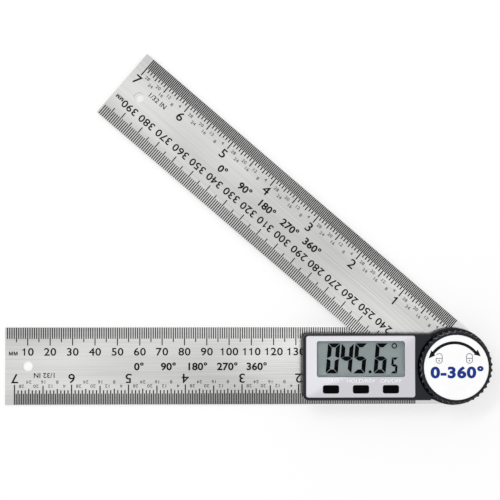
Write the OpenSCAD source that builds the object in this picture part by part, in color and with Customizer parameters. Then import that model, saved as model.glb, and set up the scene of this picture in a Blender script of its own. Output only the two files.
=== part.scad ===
// Digital angle ruler: two stainless rules on one pivot, with a display housing and a lock knob.
// The pivot axis is Z. The underside of the base blade lies on z = 0, with its free end at -X.

/* [Blades] */
// Distance from the pivot axis to the free end of the base blade
blade_len = 200; // [150:1:300]
// Distance from the pivot axis to the free end of the swinging blade
swing_len = 195; // [150:1:300]
// Width of each blade
blade_w = 34.5; // [30:0.5:40]
// Thickness of each blade
blade_t = 1.1; // [0.8:0.1:2]
// Angle between the two blades
open_angle = 40.6; // [0:0.1:180]
// Diameter of the hanging hole
hang_hole_d = 4.5; // [3:0.5:8]
// Centre of the hanging hole from the free end
hang_hole_inset = 10; // [6:0.5:20]
// Distance before the pivot axis at which the straight edges stop
neck_x = 4; // [2:0.5:8]

/* [Pivot stack] */
// Radius of the journal that the swinging blade turns on
journal_r = 7; // [6.5:0.1:8]
// Radius of the keyed section of the stud
key_r = 5; // [4.6:0.1:5.4]
// Distance from the axis to each flat of the keyed section
key_flat = 4.2; // [3.8:0.1:4.5]
// Radius of the threaded end of the stud
thread_r = 3; // [2.5:0.1:3.3]
// Thickness of each slip washer
slip_t = 0.2; // [0.1:0.05:0.5]
// Outer radius of the pressure pad that bears on the swinging blade
pad_r = 10.4; // [9.5:0.1:11]
// Outer radius of the conical spring washer
spring_r = 9; // [7.5:0.1:10]
// Height of the conical spring washer
spring_h = 0.6; // [0.5:0.05:1]
// Sheet thickness of the conical spring washer
spring_t = 0.3; // [0.2:0.05:0.4]
// Thickness of the thrust washer
thrust_t = 0.4; // [0.3:0.1:0.8]
// Outer radius of the retaining clip
clip_r = 4.8; // [4.2:0.1:5.4]
// Thickness of the retaining clip
clip_t = 0.5; // [0.4:0.1:0.7]

/* [Encoder] */
// Thickness of the rotor disc
rotor_t = 0.5; // [0.3:0.1:0.8]
// Air gap between rotor and stator
encoder_gap = 0.3; // [0.2:0.05:0.6]
// Thickness of the circuit boards
board_t = 0.8; // [0.6:0.1:1.6]
// Height of the pocket above the stator board
pocket_h = 1.55; // [1:0.05:3]

/* [Display and bezel] */
// Width of the display window
window_w = 38.9; // [32:0.1:46]
// Height of the display window
window_h = 15.8; // [13:0.1:17]
// Corner radius of the display window
window_r = 1; // [0.6:0.1:2]
// Bezel margin left and right of the window
side_margin = 4.8; // [4.7:0.1:8]
// Bezel margin above the window
top_margin = 2.4; // [2.2:0.1:4]
// Bezel band below the window, which holds the buttons
button_band = 9.05; // [8.6:0.05:11]
// Corner radius of the bezel
bezel_r = 1.2; // [0.8:0.1:2]
// Thickness of the bezel
bezel_t = 0.8; // [0.6:0.1:1.2]
// Depth of the bezel's seat in the housing deck
bezel_seat = 0.4; // [0.2:0.1:0.6]
// Bevel along the rim of the bezel
bezel_bevel = 0.3; // [0.2:0.05:0.4]
// Thickness of the display glass
lcd_t = 1.6; // [1.2:0.1:2.4]
// Clear height between the main board and the display glass
lcd_lift = 1; // [0.9:0.1:2]
// Depth of the lens face below the bezel face
lens_sink = 0.3; // [0.1:0.1:0.4]

/* [Buttons] */
// Length of a button cap
button_w = 6.9; // [5:0.1:9]
// Height of a button cap
button_h = 3.4; // [2.6:0.1:4]
// Corner radius of a button cap
button_r = 0.9; // [0.5:0.1:1.2]
// Distance between neighbouring buttons
button_pitch = 13.25; // [11:0.05:14]
// Button centre line from the lower edge of the bezel
button_inset = 3.65; // [3.4:0.05:4]
// Height of a button above the bezel
button_proud = 0.5; // [0.3:0.1:1]
// Travel of a button
button_travel = 0.3; // [0.2:0.05:0.4]

/* [Housing] */
// Width of the housing frame left of the bezel
frame_end = 1.2; // [1.1:0.1:2]
// Mean width of the housing frame above and below the bezel
frame_side = 1; // [0.8:0.1:2]
// Distance of the bezel's centre line above the pivot axis
bezel_lift = 0.3; // [0:0.05:0.3]
// Corner radius of the housing
corner_r = 2.5; // [1.8:0.1:3.5]
// Wall thickness of the housing
wall = 1.2; // [1:0.1:1.4]
// Thickness of the deck under the bezel
deck_t = 1; // [0.8:0.1:1.6]
// Radius of the round end
end_r = 17.2; // [16.5:0.1:19]
// Thickness of the floor under the knob
floor_t = 1.4; // [1:0.1:2]
// Radius of the fillet between the straight side and the round end
neck_fillet = 5; // [2:0.5:8]
// Bevel along the upper edges of the housing
case_bevel = 0.4; // [0.2:0.1:0.4]
// Thickness of the bottom cover
cover_t = 0.8; // [0.7:0.1:1.2]
// Radius of a screw boss
boss_r = 1.9; // [1.6:0.1:2]
// Radius of a cover screw's shank
screw_r = 0.8; // [0.6:0.1:0.9]
// Length of a cover screw
screw_len = 5; // [4:0.5:6]

/* [Lock knob] */
// Radius of the knob over its ribs
knob_r = 16.3; // [15:0.1:18]
// Height of the knob
knob_h = 6.8; // [6.3:0.1:9]
// Number of finger flutes
flute_count = 38; // [24:1:44]
// Radius of a flute
flute_r = 1.1; // [0.7:0.1:1.4]
// Depth of a flute
flute_depth = 0.55; // [0.3:0.05:0.8]
// Wall thickness of the knob skirt
skirt_t = 2.2; // [1.6:0.1:3]
// Radius of the label disc
label_r = 14.3; // [12:0.1:14.4]
// Thickness of the label disc
label_t = 0.4; // [0.2:0.1:0.5]
// Radius of the threaded insert
insert_r = 4.6; // [4.2:0.1:5.4]
// Radius of the boss around the insert
knob_boss_r = 6.4; // [6:0.1:8]
// Number of stiffening ribs inside the knob
knob_ribs = 6; // [4:1:10]

/* [Battery] */
// Diameter of the coin cell
cell_d = 20; // [16:0.5:21]
// Height of the coin cell
cell_h = 3.2; // [1.6:0.1:4]
// Wall of the battery tray beside the cell
tray_wall = 1.85; // [1:0.05:2.5]
// Depth of the tray's front block
tray_front = 2.4; // [2:0.1:3]
// Thickness of the lip under the cell
tray_lip = 0.3; // [0.2:0.1:0.6]
// Place of the tray's centre, left of the bezel's centre
tray_shift = 3; // [0:0.5:4]
// Width of the finger nub on the tray
nub_w = 2.6; // [2:0.1:6]
// Height of the finger nub above the housing side
nub_out = 0.5; // [0.3:0.1:1]
// Thickness of the battery contacts
contact_t = 0.2; // [0.1:0.05:0.3]

/* [Clearances] */
// Running clearance at the turning faces and bores
run_gap = 0.05; // [0.02:0.01:0.08]
// Clearance between seated pieces
fit_gap = 0.05; // [0.02:0.01:0.1]
// Clearance around sliding pieces
slide_gap = 0.1; // [0.05:0.05:0.2]
// Gap between the knob and the housing around it
knob_gap = 0.6; // [0.4:0.1:1]

/* [Hidden] */
$fn = 96;

// How far a cutter reaches past the face that it cuts
cut = 1;
// Hair by which the neck fillet stays off the sides that it blends
arc_step = 0.01;

// Heights of the pivot stack, from the table upwards
z_slip = blade_t;
z_swing = z_slip + slip_t + run_gap;
z_swing_top = z_swing + blade_t;
z_pad = z_swing_top + run_gap;
z_case = z_pad + slip_t;
z_stator = z_swing_top + rotor_t + encoder_gap;
z_stator_top = z_stator + board_t;
z_floor = z_stator_top + pocket_h;
z_end = z_floor + floor_t;
z_thrust = z_end + spring_h;
z_boss = z_thrust + thrust_t + run_gap;

// Heights of the display stack
z_cover_top = z_case + cover_t;
z_tray = z_cover_top + fit_gap;
z_cell = z_tray + tray_lip;
z_cell_top = z_cell + cell_h;
z_board = z_cell_top + fit_gap + contact_t;
z_board_top = z_board + board_t;
z_lcd = z_board_top + lcd_lift;
z_lcd_step = z_lcd + lcd_t / 2;
z_deck = z_lcd + lcd_t;
z_bezel = z_deck + deck_t - bezel_seat;
z_deck_top = z_deck + deck_t;
z_bezel_top = z_bezel + bezel_t;

// Heights of the knob
skirt_gap = 0.3;
z_skirt = z_end + skirt_gap;
z_knob_top = z_skirt + knob_h;
label_sink = 0.2;
z_label = z_knob_top - label_sink - label_t;
plate_t = 1;
z_plate = z_label - plate_t;
clip_room = 0.2;
z_stud_top = z_label - clip_room;
z_clip = z_stud_top - clip_room - clip_t;
z_insert_top = z_clip - clip_room;

// Plan of the housing, measured from the pivot axis towards -X
knob_cut_r = knob_r + knob_gap;
bezel_gap = 0.8;
bezel_x1 = -(knob_cut_r + bezel_gap);
bezel_x0 = bezel_x1 - window_w - 2 * side_margin;
bezel_cx = (bezel_x0 + bezel_x1) / 2;
bezel_h = top_margin + window_h + button_band;
bezel_y0 = bezel_lift - bezel_h / 2;
bezel_y1 = bezel_lift + bezel_h / 2;
case_x0 = bezel_x0 - frame_end;
case_y = bezel_h / 2 + frame_side;
cavity_r = knob_cut_r + wall;
horn_x = sqrt(knob_cut_r * knob_cut_r - case_y * case_y) + 2 * wall;
cavity_x1 = -(horn_x + wall);
cavity_y = case_y - wall;
window_y = bezel_y1 - top_margin - window_h / 2;
button_y = bezel_y0 + button_inset;
button_xs = [for (i = [-1:1]) bezel_cx + i * button_pitch];
rim_t = 1;
rotor_gap = 0.5;
end_hide = 0.3;
stator_r = end_r - rim_t - fit_gap;
rotor_r = stator_r - rotor_gap;
rotor_in = pad_r + rotor_gap;
blade_end_r = end_r - end_hide;
groove_depth = 0.6;
groove_r = thread_r - groove_depth;

// Screw bosses in the four corners of the display half
boss_overlap = 0.3;
boss_y = cavity_y - boss_r + boss_overlap;
boss_x0 = case_x0 + wall + boss_r - boss_overlap;
boss_x1 = -(sqrt(cavity_r * cavity_r - boss_y * boss_y) + boss_r - boss_overlap);
boss_places = [for (x = [boss_x0, boss_x1], y = [-boss_y, boss_y]) [x, y]];

// Display glass, boards and battery tray
lcd_side = 0.9;
lcd_edge = 1.4;
lcd_w = window_w + 2 * lcd_side;
lcd_h = window_h + 2 * lcd_edge;
zebra_w = lcd_edge - 2 * fit_gap;
deck_open = 0.6;
board_gap = 0.5;
board_x0 = boss_x0 + boss_r + fit_gap;
board_x1 = -(cavity_r + board_gap);
board_y = cavity_y - board_gap;
post_r = 1.2;
flange = 0.75;
flange_t = 0.6;
hole_gap = 0.1;
switch_w = 3;
switch_h = 1;
plunger_h = 0.3;
tray_x = bezel_cx - tray_shift;
tray_w = cell_d + 2 * (slide_gap + tray_wall);
cell_y = -case_y + tray_front + slide_gap + cell_d / 2;
tray_end = cell_y + 0.3 * cell_d;
rail_t = 0.8;
ribbon_w = 6;
ribbon_t = 0.2;

module rounded_plan(x0, x1, y0, y1, r) {
    translate([x0 + r, y0]) square([x1 - x0 - 2 * r, y1 - y0]);
    translate([x0, y0 + r]) square([x1 - x0, y1 - y0 - 2 * r]);
    for (right = [0, 1], upper = [0, 1])
        translate([right ? x1 - r : x0 + r, upper ? y1 - r : y0 + r]) intersection() {
            circle(r = r);
            translate([right ? 0 : -r - cut, upper ? 0 : -r - cut]) square(r + cut);
        }
}

module ring(outer, inner, height) {
    linear_extrude(height) difference() {
        circle(r = outer);
        circle(r = inner);
    }
}

// Section of a 45 degree bevel cutter on the edge at u and height z
module bevel_plan(u, z, e) {
    polygon([[u - e, z], [u, z - e], [u + e, z], [u, z + e]]);
}

// Cutter for a bevel of size e along the upper rim of a rounded plan
module rim_bevel(x0, x1, y0, y1, r, z, e) {
    for (y = [y0, y1])
        translate([x0 + r, 0, 0]) rotate([90, 0, 90]) linear_extrude(x1 - x0 - 2 * r) bevel_plan(y, z, e);
    for (x = [x0, x1])
        translate([0, y1 - r, 0]) rotate([90, 0, 0]) linear_extrude(y1 - y0 - 2 * r) bevel_plan(x, z, e);
    for (c = [[x1 - r, y1 - r, 0], [x0 + r, y1 - r, 90], [x0 + r, y0 + r, 180], [x1 - r, y0 + r, 270]])
        translate([c[0], c[1], 0]) rotate([0, 0, c[2]]) rotate_extrude(angle = 90) bevel_plan(r, z, e);
}

// Round section with two flats, which keeps the stud, base blade and housing from turning
module keyed_plan(gap) {
    intersection() {
        circle(r = key_r + gap);
        square([2 * (key_flat + gap), 2 * (key_r + cut)], center = true);
    }
}

// Outline of a blade whose free end lies a reach away from the pivot axis
module blade_plan(reach) {
    difference() {
        union() {
            translate([-reach, -blade_w / 2]) square([reach - neck_x, blade_w]);
            circle(r = blade_end_r);
        }
        translate([hang_hole_inset - reach, 0]) circle(d = hang_hole_d);
    }
}

module base_blade() {
    color("silver") linear_extrude(blade_t) difference() {
        blade_plan(blade_len);
        keyed_plan(fit_gap);
    }
}

module swing_blade() {
    color("lightgray") rotate([0, 0, -open_angle]) translate([0, 0, z_swing])
        linear_extrude(blade_t) difference() {
            blade_plan(swing_len);
            circle(r = journal_r + run_gap);
        }
}

// Turned stud: key in the base blade, journal, key in the housing, thread and clip groove
module pivot_stud() {
    journal_top = z_swing_top - 2 * run_gap;
    key_top = z_end - fit_gap;
    tip = 0.3;
    color("gainsboro") {
        linear_extrude(blade_t) keyed_plan(0);
        translate([0, 0, z_slip]) cylinder(r = journal_r, h = journal_top - z_slip);
        translate([0, 0, journal_top]) linear_extrude(key_top - journal_top) keyed_plan(0);
        rotate_extrude() polygon([
            [0, key_top], [thread_r, key_top], [thread_r, z_clip], [groove_r, z_clip],
            [groove_r, z_clip + clip_t], [thread_r - tip, z_clip + clip_t],
            [thread_r - tip, z_stud_top], [0, z_stud_top]
        ]);
    }
}

module lower_slip_washer() {
    color("ivory") translate([0, 0, z_slip]) ring(blade_end_r - rotor_gap, journal_r + slide_gap, slip_t);
}

module upper_slip_washer() {
    color("ivory") translate([0, 0, z_pad]) ring(pad_r, key_r + slide_gap, slip_t);
}

module encoder_rotor() {
    color("goldenrod") rotate([0, 0, -open_angle]) translate([0, 0, z_swing_top])
        ring(rotor_r, rotor_in, rotor_t);
}

module stator_board() {
    color("darkgreen") translate([0, 0, z_stator]) ring(stator_r, pad_r + slide_gap, board_t);
}

// Outline of the housing seen from above
module case_plan() {
    fillet_y = case_y + neck_fillet;
    reach = end_r + neck_fillet;
    fillet_x = -sqrt(reach * reach - fillet_y * fillet_y);
    touch_x = fillet_x * end_r / reach;
    touch_y = fillet_y * end_r / reach;
    difference() {
        union() {
            rounded_plan(case_x0, 0, -case_y, case_y, corner_r);
            circle(r = end_r);
            polygon([[fillet_x, -fillet_y], [touch_x, -touch_y], [touch_x, touch_y], [fillet_x, fillet_y]]);
        }
        for (side = [-1, 1]) translate([fillet_x, side * fillet_y]) circle(r = neck_fillet - arc_step);
    }
}

// Outline of the inner room of the display half, drawn in by a gap
module cavity_plan(gap) {
    difference() {
        translate([case_x0 + wall + gap, -cavity_y + gap])
            square([cavity_x1 - case_x0 - wall - 2 * gap, 2 * (cavity_y - gap)]);
        circle(r = cavity_r + gap);
    }
}

module button_hole(x) {
    translate([x, button_y]) rounded_plan(
        -button_w / 2 - hole_gap, button_w / 2 + hole_gap,
        -button_h / 2 - hole_gap, button_h / 2 + hole_gap, button_r);
}

module window_plan(grow) {
    translate([bezel_cx, window_y]) rounded_plan(
        -window_w / 2 - grow, window_w / 2 + grow,
        -window_h / 2 - grow, window_h / 2 + grow, window_r);
}

module case_rooms() {
    translate([0, 0, z_case - cut]) linear_extrude(z_deck - z_case + cut) difference() {
        cavity_plan(0);
        for (p = boss_places) translate(p) circle(r = boss_r);
    }
    for (p = boss_places) {
        translate([p[0], p[1], z_case - cut]) cylinder(r = boss_r + fit_gap, h = cover_t + cut);
        translate([p[0], p[1], z_case]) cylinder(r = screw_r + fit_gap, h = screw_len + fit_gap);
    }
    // Side slot for the battery tray
    translate([tray_x - tray_w / 2 - slide_gap, -case_y - cut, z_cover_top])
        cube([tray_w + 2 * slide_gap, wall + 2 * cut, tray_lip + cell_h + 2 * slide_gap]);
    // Openings in the deck
    translate([0, 0, z_deck - cut]) linear_extrude(deck_t + 2 * cut) {
        window_plan(deck_open);
        for (x = button_xs) button_hole(x);
    }
    translate([0, 0, z_bezel]) linear_extrude(deck_t) rounded_plan(
        bezel_x0 - fit_gap, bezel_x1 + fit_gap, bezel_y0 - fit_gap, bezel_y1 + fit_gap, bezel_r);
}

module end_rooms() {
    ledge = 1;
    // Seat of the encoder boards, and the pocket above them
    translate([0, 0, z_case - cut]) ring(stator_r + fit_gap, pad_r, z_stator_top - z_case + cut);
    translate([0, 0, z_stator]) ring(stator_r - ledge, pad_r, z_floor - z_stator);
    translate([0, 0, z_case - cut]) linear_extrude(z_end - z_case + 2 * cut) keyed_plan(fit_gap);
    // Passage for the ribbon between the two halves
    translate([-cavity_r - cut, -ribbon_w / 2 - slide_gap, z_stator_top])
        cube([cavity_r + 2 * cut - stator_r + ledge, ribbon_w + 2 * slide_gap, pocket_h / 2]);
}

module housing() {
    tall = z_deck_top - z_end + cut;
    color("#2b2b2f") difference() {
        translate([0, 0, z_case]) linear_extrude(z_deck_top - z_case) case_plan();
        translate([0, 0, z_end]) cylinder(r = knob_cut_r, h = tall);
        translate([-horn_x, -end_r - cut, z_end]) cube([horn_x + end_r + cut, 2 * (end_r + cut), tall]);
        case_rooms();
        end_rooms();
        rim_bevel(case_x0, end_r, -case_y, case_y, corner_r, z_deck_top, case_bevel);
        rotate([0, 0, -90]) rotate_extrude(angle = 180) bevel_plan(end_r, z_end, case_bevel);
    }
}

module housing_cover() {
    head_r = 2 * screw_r;
    rail_len = tray_end + cavity_y;
    color("#242428") difference() {
        union() {
            translate([0, 0, z_case]) linear_extrude(cover_t) cavity_plan(fit_gap);
            // Rails that guide the battery tray
            for (side = [-1, 1])
                translate([tray_x + side * (tray_w / 2 + slide_gap + rail_t / 2) - rail_t / 2,
                           -cavity_y + wall, z_case])
                    cube([rail_t, rail_len - wall, cover_t + tray_lip + cell_h / 2]);
            // Posts that carry the main board
            for (x = [board_x0 + post_r, board_x1 - post_r], y = [-1, 1])
                translate([x, y * (board_y - post_r), z_case]) cylinder(r = post_r, h = z_board - z_case);
        }
        for (p = boss_places) {
            translate([p[0], p[1], z_case - cut]) cylinder(r = screw_r + fit_gap, h = cover_t + 2 * cut);
            translate([p[0], p[1], z_case - fit_gap])
                cylinder(r1 = head_r + 2 * fit_gap, r2 = screw_r + fit_gap, h = head_r - screw_r + fit_gap);
        }
    }
}

// Four countersunk screws, flush with the underside of the cover
module cover_screws() {
    head_r = 2 * screw_r;
    color("dimgray") for (p = boss_places) translate([p[0], p[1], z_case + fit_gap]) {
        cylinder(r1 = head_r, r2 = screw_r, h = head_r - screw_r);
        translate([0, 0, head_r - screw_r]) cylinder(r = screw_r, h = screw_len - head_r - fit_gap);
    }
}

module bezel() {
    color("#d6d5da") difference() {
        translate([0, 0, z_bezel]) linear_extrude(bezel_t) difference() {
            rounded_plan(bezel_x0, bezel_x1, bezel_y0, bezel_y1, bezel_r);
            window_plan(0);
            for (x = button_xs) button_hole(x);
        }
        rim_bevel(bezel_x0, bezel_x1, bezel_y0, bezel_y1, bezel_r, z_bezel_top, bezel_bevel);
    }
}

// Clear lens with a flange that the bezel holds down
module display_lens() {
    color("#c8d4d0", 0.4) {
        translate([0, 0, z_deck]) linear_extrude(z_bezel - z_deck) window_plan(deck_open - fit_gap);
        translate([0, 0, z_bezel]) linear_extrude(bezel_t - lens_sink) window_plan(-fit_gap);
    }
}

// Front glass with a contact ledge above and below, over a narrower rear glass
module lcd_panel() {
    color("#8c9892") {
        translate([bezel_cx - lcd_w / 2, window_y - lcd_h / 2, z_lcd_step])
            cube([lcd_w, lcd_h, z_deck - z_lcd_step]);
        translate([bezel_cx - lcd_w / 2, window_y - window_h / 2, z_lcd])
            cube([lcd_w, window_h, z_lcd_step - z_lcd]);
    }
}

module zebra_strips() {
    offset_y = (window_h + lcd_edge) / 2;
    color("hotpink") for (side = [-1, 1])
        translate([bezel_cx - window_w / 2, window_y + side * offset_y - zebra_w / 2, z_board_top])
            cube([window_w, zebra_w, z_lcd_step - z_board_top]);
}

module main_board() {
    color("seagreen") translate([board_x0, -board_y, z_board])
        cube([board_x1 - board_x0, 2 * board_y, board_t]);
}

module controller_chip() {
    chip = 7;
    color("#1c1c1c") translate([bezel_cx - chip / 2, window_y - chip / 2, z_board_top])
        cube([chip, chip, lcd_lift - slide_gap]);
}

module button_switches() {
    color("lightslategray") for (x = button_xs) {
        translate([x - switch_w / 2, button_y - switch_w / 2, z_board_top])
            cube([switch_w, switch_w, switch_h]);
        translate([x, button_y, z_board_top + switch_h]) cylinder(r = switch_w / 4, h = plunger_h);
    }
}

// Flat ribbon from the stator board up to the main board
module board_ribbon() {
    x_stator = -stator_r + 2;
    x_rise = board_x1 - 1;
    x_end = x_rise - 2;
    color("sienna") translate([0, ribbon_w / 2, 0]) rotate([90, 0, 0]) linear_extrude(ribbon_w) polygon([
        [x_stator, z_stator_top], [x_stator, z_stator_top + ribbon_t],
        [x_rise + ribbon_t, z_stator_top + ribbon_t], [x_rise + ribbon_t, z_board],
        [x_end, z_board], [x_end, z_board - ribbon_t],
        [x_rise, z_board - ribbon_t], [x_rise, z_stator_top]
    ]);
}

// Flat spring strip under the main board, over the upper face of the cell
module battery_contact_negative() {
    strip_w = 4;
    color("gold") translate([tray_x - strip_w / 2, cell_y - cell_d / 4, z_board - contact_t])
        cube([strip_w, cell_d / 2, contact_t]);
}

// Folded strip that bears on the rim of the cell
module battery_contact_positive() {
    strip_w = 6;
    tab = 2;
    rim_y = cell_y + cell_d / 2 + fit_gap;
    color("gold") {
        translate([tray_x - strip_w / 2, rim_y, z_cell]) cube([strip_w, contact_t, z_board - z_cell]);
        translate([tray_x - strip_w / 2, rim_y, z_board - contact_t]) cube([strip_w, tab, contact_t]);
    }
}

module spring_washer() {
    inner = thread_r + slide_gap;
    color("slategray") translate([0, 0, z_end]) rotate_extrude() polygon([
        [spring_r, 0], [spring_r, spring_t], [inner, spring_h], [inner, spring_h - spring_t]
    ]);
}

module thrust_washer() {
    color("lightsteelblue") translate([0, 0, z_thrust]) ring(knob_boss_r, thread_r + slide_gap, thrust_t);
}

// Snap clip in the stud's groove, which stops the knob from leaving the thread
module retaining_clip() {
    grip = 0.4;
    color("darkgray") translate([0, 0, z_clip]) linear_extrude(clip_t) difference() {
        circle(r = clip_r);
        circle(r = groove_r + fit_gap);
        translate([0, grip - groove_r]) square([clip_r + cut, 2 * (groove_r - grip)]);
    }
}

module lock_knob() {
    bevel_h = 1.1;
    lip = 0.6;
    foot = 0.3;
    rib_t = 1;
    label_hole = label_r + fit_gap;
    pocket_r = clip_r + knob_gap;
    skirt_in = knob_r - skirt_t;
    color("#202024") difference() {
        union() {
            rotate_extrude() polygon([
                [insert_r, z_boss], [knob_boss_r, z_boss], [knob_boss_r, z_plate], [skirt_in, z_plate],
                [skirt_in, z_skirt], [knob_r - foot, z_skirt], [knob_r, z_skirt + foot],
                [knob_r, z_knob_top - bevel_h], [label_hole + lip, z_knob_top], [label_hole, z_knob_top],
                [label_hole, z_label], [pocket_r, z_label], [pocket_r, z_insert_top],
                [insert_r, z_insert_top]
            ]);
            for (i = [0 : knob_ribs - 1]) rotate([0, 0, i * 360 / knob_ribs])
                translate([knob_boss_r - rib_t / 2, -rib_t / 2, z_boss + rib_t])
                    cube([skirt_in - knob_boss_r + rib_t, rib_t, z_plate - z_boss - rib_t / 2]);
        }
        for (i = [0 : flute_count - 1]) rotate([0, 0, i * 360 / flute_count])
            translate([knob_r + flute_r - flute_depth, 0, z_skirt - cut])
                cylinder(r = flute_r, h = knob_h + 2 * cut);
    }
}

module knob_insert() {
    color("#b8923a") translate([0, 0, z_boss]) ring(insert_r, thread_r + run_gap, z_insert_top - z_boss);
}

module knob_label() {
    color("white") translate([0, 0, z_label]) cylinder(r = label_r, h = label_t);
}

// Button cap with a flange below the deck and a stem above its switch
module push_button(x) {
    flange_z = z_deck - fit_gap - flange_t;
    stem_z = z_board_top + switch_h + plunger_h + button_travel + fit_gap;
    translate([x, button_y, 0]) {
        translate([0, 0, flange_z]) linear_extrude(z_bezel_top + button_proud - flange_z)
            rounded_plan(-button_w / 2, button_w / 2, -button_h / 2, button_h / 2, button_r);
        translate([-button_w / 2 - flange, -button_h / 2 - flange, flange_z])
            cube([button_w + 2 * flange, button_h + 2 * flange, flange_t]);
        translate([0, 0, stem_z]) cylinder(r = button_h / 3, h = flange_z - stem_z + flange_t);
    }
}

module zero_button() {
    color("#1d1d20") push_button(button_xs[0]);
}

module hold_button() {
    color("#1d1d20") push_button(button_xs[1]);
}

module power_button() {
    color("#1d1d20") push_button(button_xs[2]);
}

// Sliding tray: front block, two arms around the cell, and a lip under it
module battery_tray() {
    tray_h = tray_lip + cell_h;
    pocket_r = cell_d / 2 + slide_gap;
    lip_w = 1.2;
    color("#26262a") difference() {
        union() {
            translate([tray_x - tray_w / 2, -case_y, z_tray]) cube([tray_w, tray_end + case_y, tray_h]);
            translate([tray_x - nub_w / 2, -case_y - nub_out, z_tray + tray_h / 4])
                cube([nub_w, nub_out + tray_front / 2, tray_h / 2]);
        }
        translate([tray_x, cell_y, z_cell]) cylinder(r = pocket_r, h = tray_h);
        translate([tray_x, cell_y, z_tray - cut]) cylinder(r = pocket_r - lip_w, h = tray_h + 2 * cut);
    }
}

module coin_cell() {
    step = 0.4;
    rim = 1;
    color("lightgray") translate([tray_x, cell_y, z_cell]) {
        cylinder(r = cell_d / 2, h = cell_h - step);
        cylinder(r = cell_d / 2 - rim, h = cell_h);
    }
}

base_blade();
pivot_stud();
lower_slip_washer();
upper_slip_washer();
housing();
housing_cover();
cover_screws();
bezel();
display_lens();
lcd_panel();
zebra_strips();
main_board();
controller_chip();
button_switches();
stator_board();
board_ribbon();
battery_contact_negative();
battery_contact_positive();
spring_washer();
thrust_washer();
retaining_clip();
swing_blade();
encoder_rotor();
lock_knob();
knob_insert();
knob_label();
zero_button();
hold_button();
power_button();
battery_tray();
coin_cell();
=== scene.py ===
# %% [markdown]
# # Dressing a digital angle ruler
# Two stainless rules turn on one pivot, under a black case with a display and a lock knob.
# The solids come packed from the CAD source and stay where they are. Blender adds what the solids
# can't hold: finishes, softened edges, etched scales, display digits and printing.
# All modelling below is in millimetres. A piece is scaled to metres when it is finished.

# %% Load the solids as a fixed frame
import math

import bmesh
import bpy
from mathutils import Matrix, Vector


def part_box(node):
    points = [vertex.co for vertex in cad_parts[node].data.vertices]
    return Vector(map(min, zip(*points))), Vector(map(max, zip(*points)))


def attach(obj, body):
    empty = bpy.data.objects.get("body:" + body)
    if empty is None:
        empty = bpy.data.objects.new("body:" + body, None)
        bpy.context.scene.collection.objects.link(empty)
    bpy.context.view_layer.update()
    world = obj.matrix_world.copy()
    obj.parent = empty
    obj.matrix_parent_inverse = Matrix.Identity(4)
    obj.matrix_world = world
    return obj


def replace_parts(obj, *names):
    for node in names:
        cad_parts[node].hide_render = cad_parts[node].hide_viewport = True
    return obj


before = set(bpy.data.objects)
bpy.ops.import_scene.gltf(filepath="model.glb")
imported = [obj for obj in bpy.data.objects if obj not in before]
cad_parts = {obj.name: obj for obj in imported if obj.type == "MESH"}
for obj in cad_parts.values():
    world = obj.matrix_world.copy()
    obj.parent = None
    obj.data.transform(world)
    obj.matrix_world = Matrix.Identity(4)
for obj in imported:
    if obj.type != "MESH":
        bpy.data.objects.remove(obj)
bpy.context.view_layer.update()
scene = bpy.context.scene
scene.view_settings.view_transform = "Standard"
MM = 0.001


def corners(node):
    """Lowest and highest corner of a CAD node, in millimetres."""
    low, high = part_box(node)
    return low / MM, high / MM


# %% [markdown]
# ## Camera
# The photograph looks almost straight down on the ruler. A long lens keeps the perspective small,
# and the camera leans by one or two degrees, so a little of the case's walls shows.
# The frame's width in millimetres at table level gives the lens. Width, middle and lean were
# fitted to edges measured in the photograph, which is truer than moving the camera by eye.

# %% Camera above the table
VIEW_WIDTH = 224.88
VIEW_CENTRE = Vector((-90.61, 51.97, 1.0))
VIEW_DISTANCE = 560.0
VIEW_TILT = (math.radians(-1.5), math.radians(-1.14))
SENSOR = 36.0

lens_data = bpy.data.cameras.new("camera")
lens_data.sensor_width = SENSOR
lens_data.lens = SENSOR * VIEW_DISTANCE / VIEW_WIDTH
camera = bpy.data.objects.new("camera", lens_data)
scene.collection.objects.link(camera)
scene.camera = camera
away = Vector((math.tan(VIEW_TILT[0]), math.tan(VIEW_TILT[1]), 1)).normalized()
camera.location = (VIEW_CENTRE + away * VIEW_DISTANCE) * MM
right = Vector((0, 1, 0)).cross(away).normalized()
camera.rotation_euler = Matrix((right, away.cross(right), away)).transposed().to_euler()
lens_data.clip_start, lens_data.clip_end = 0.05, 20
print(f"lens {lens_data.lens:.0f} mm from {VIEW_DISTANCE:.0f} mm away")

# %% [markdown]
# ## Light and floor
# A product shot on white has light from every side, so the world does most of the work.
# Rays that light a surface see a little less than white, and rays that show or mirror the world
# see pure white, so steel reflects the same white that the background has.

# %% White world
WORLD_LIGHT = 0.82


def white_to_viewer(nodes, links, strength):
    """A strength that is 1 for camera, mirror and glass rays, and the given one for the rest."""
    path = nodes.new("ShaderNodeLightPath")
    seen = path.outputs["Is Camera Ray"]
    for ray in ("Is Glossy Ray", "Is Transmission Ray"):
        either = nodes.new("ShaderNodeMath")
        either.operation = "MAXIMUM"
        links.new(seen, either.inputs[0])
        links.new(path.outputs[ray], either.inputs[1])
        seen = either.outputs[0]
    blend = nodes.new("ShaderNodeMapRange")
    blend.inputs["To Min"].default_value = strength
    blend.inputs["To Max"].default_value = 1.0
    links.new(seen, blend.inputs["Value"])
    return blend.outputs["Result"]


world = bpy.data.worlds.new("white_studio")
scene.world = world
world.use_nodes = True
sky = world.node_tree.nodes["Background"]
sky.inputs["Color"].default_value = (1, 1, 1, 1)
links = world.node_tree.links
links.new(white_to_viewer(world.node_tree.nodes, links, WORLD_LIGHT), sky.inputs["Strength"])
print("world light", WORLD_LIGHT, "on surfaces, 1 to the viewer")

# %% [markdown]
# A soft lamp at the upper left gives direction. It could be a sun, but a sun's shadows are hard.
# The lamp is left out of mirrors, because its glare would burn the steel out from some sides.

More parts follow.
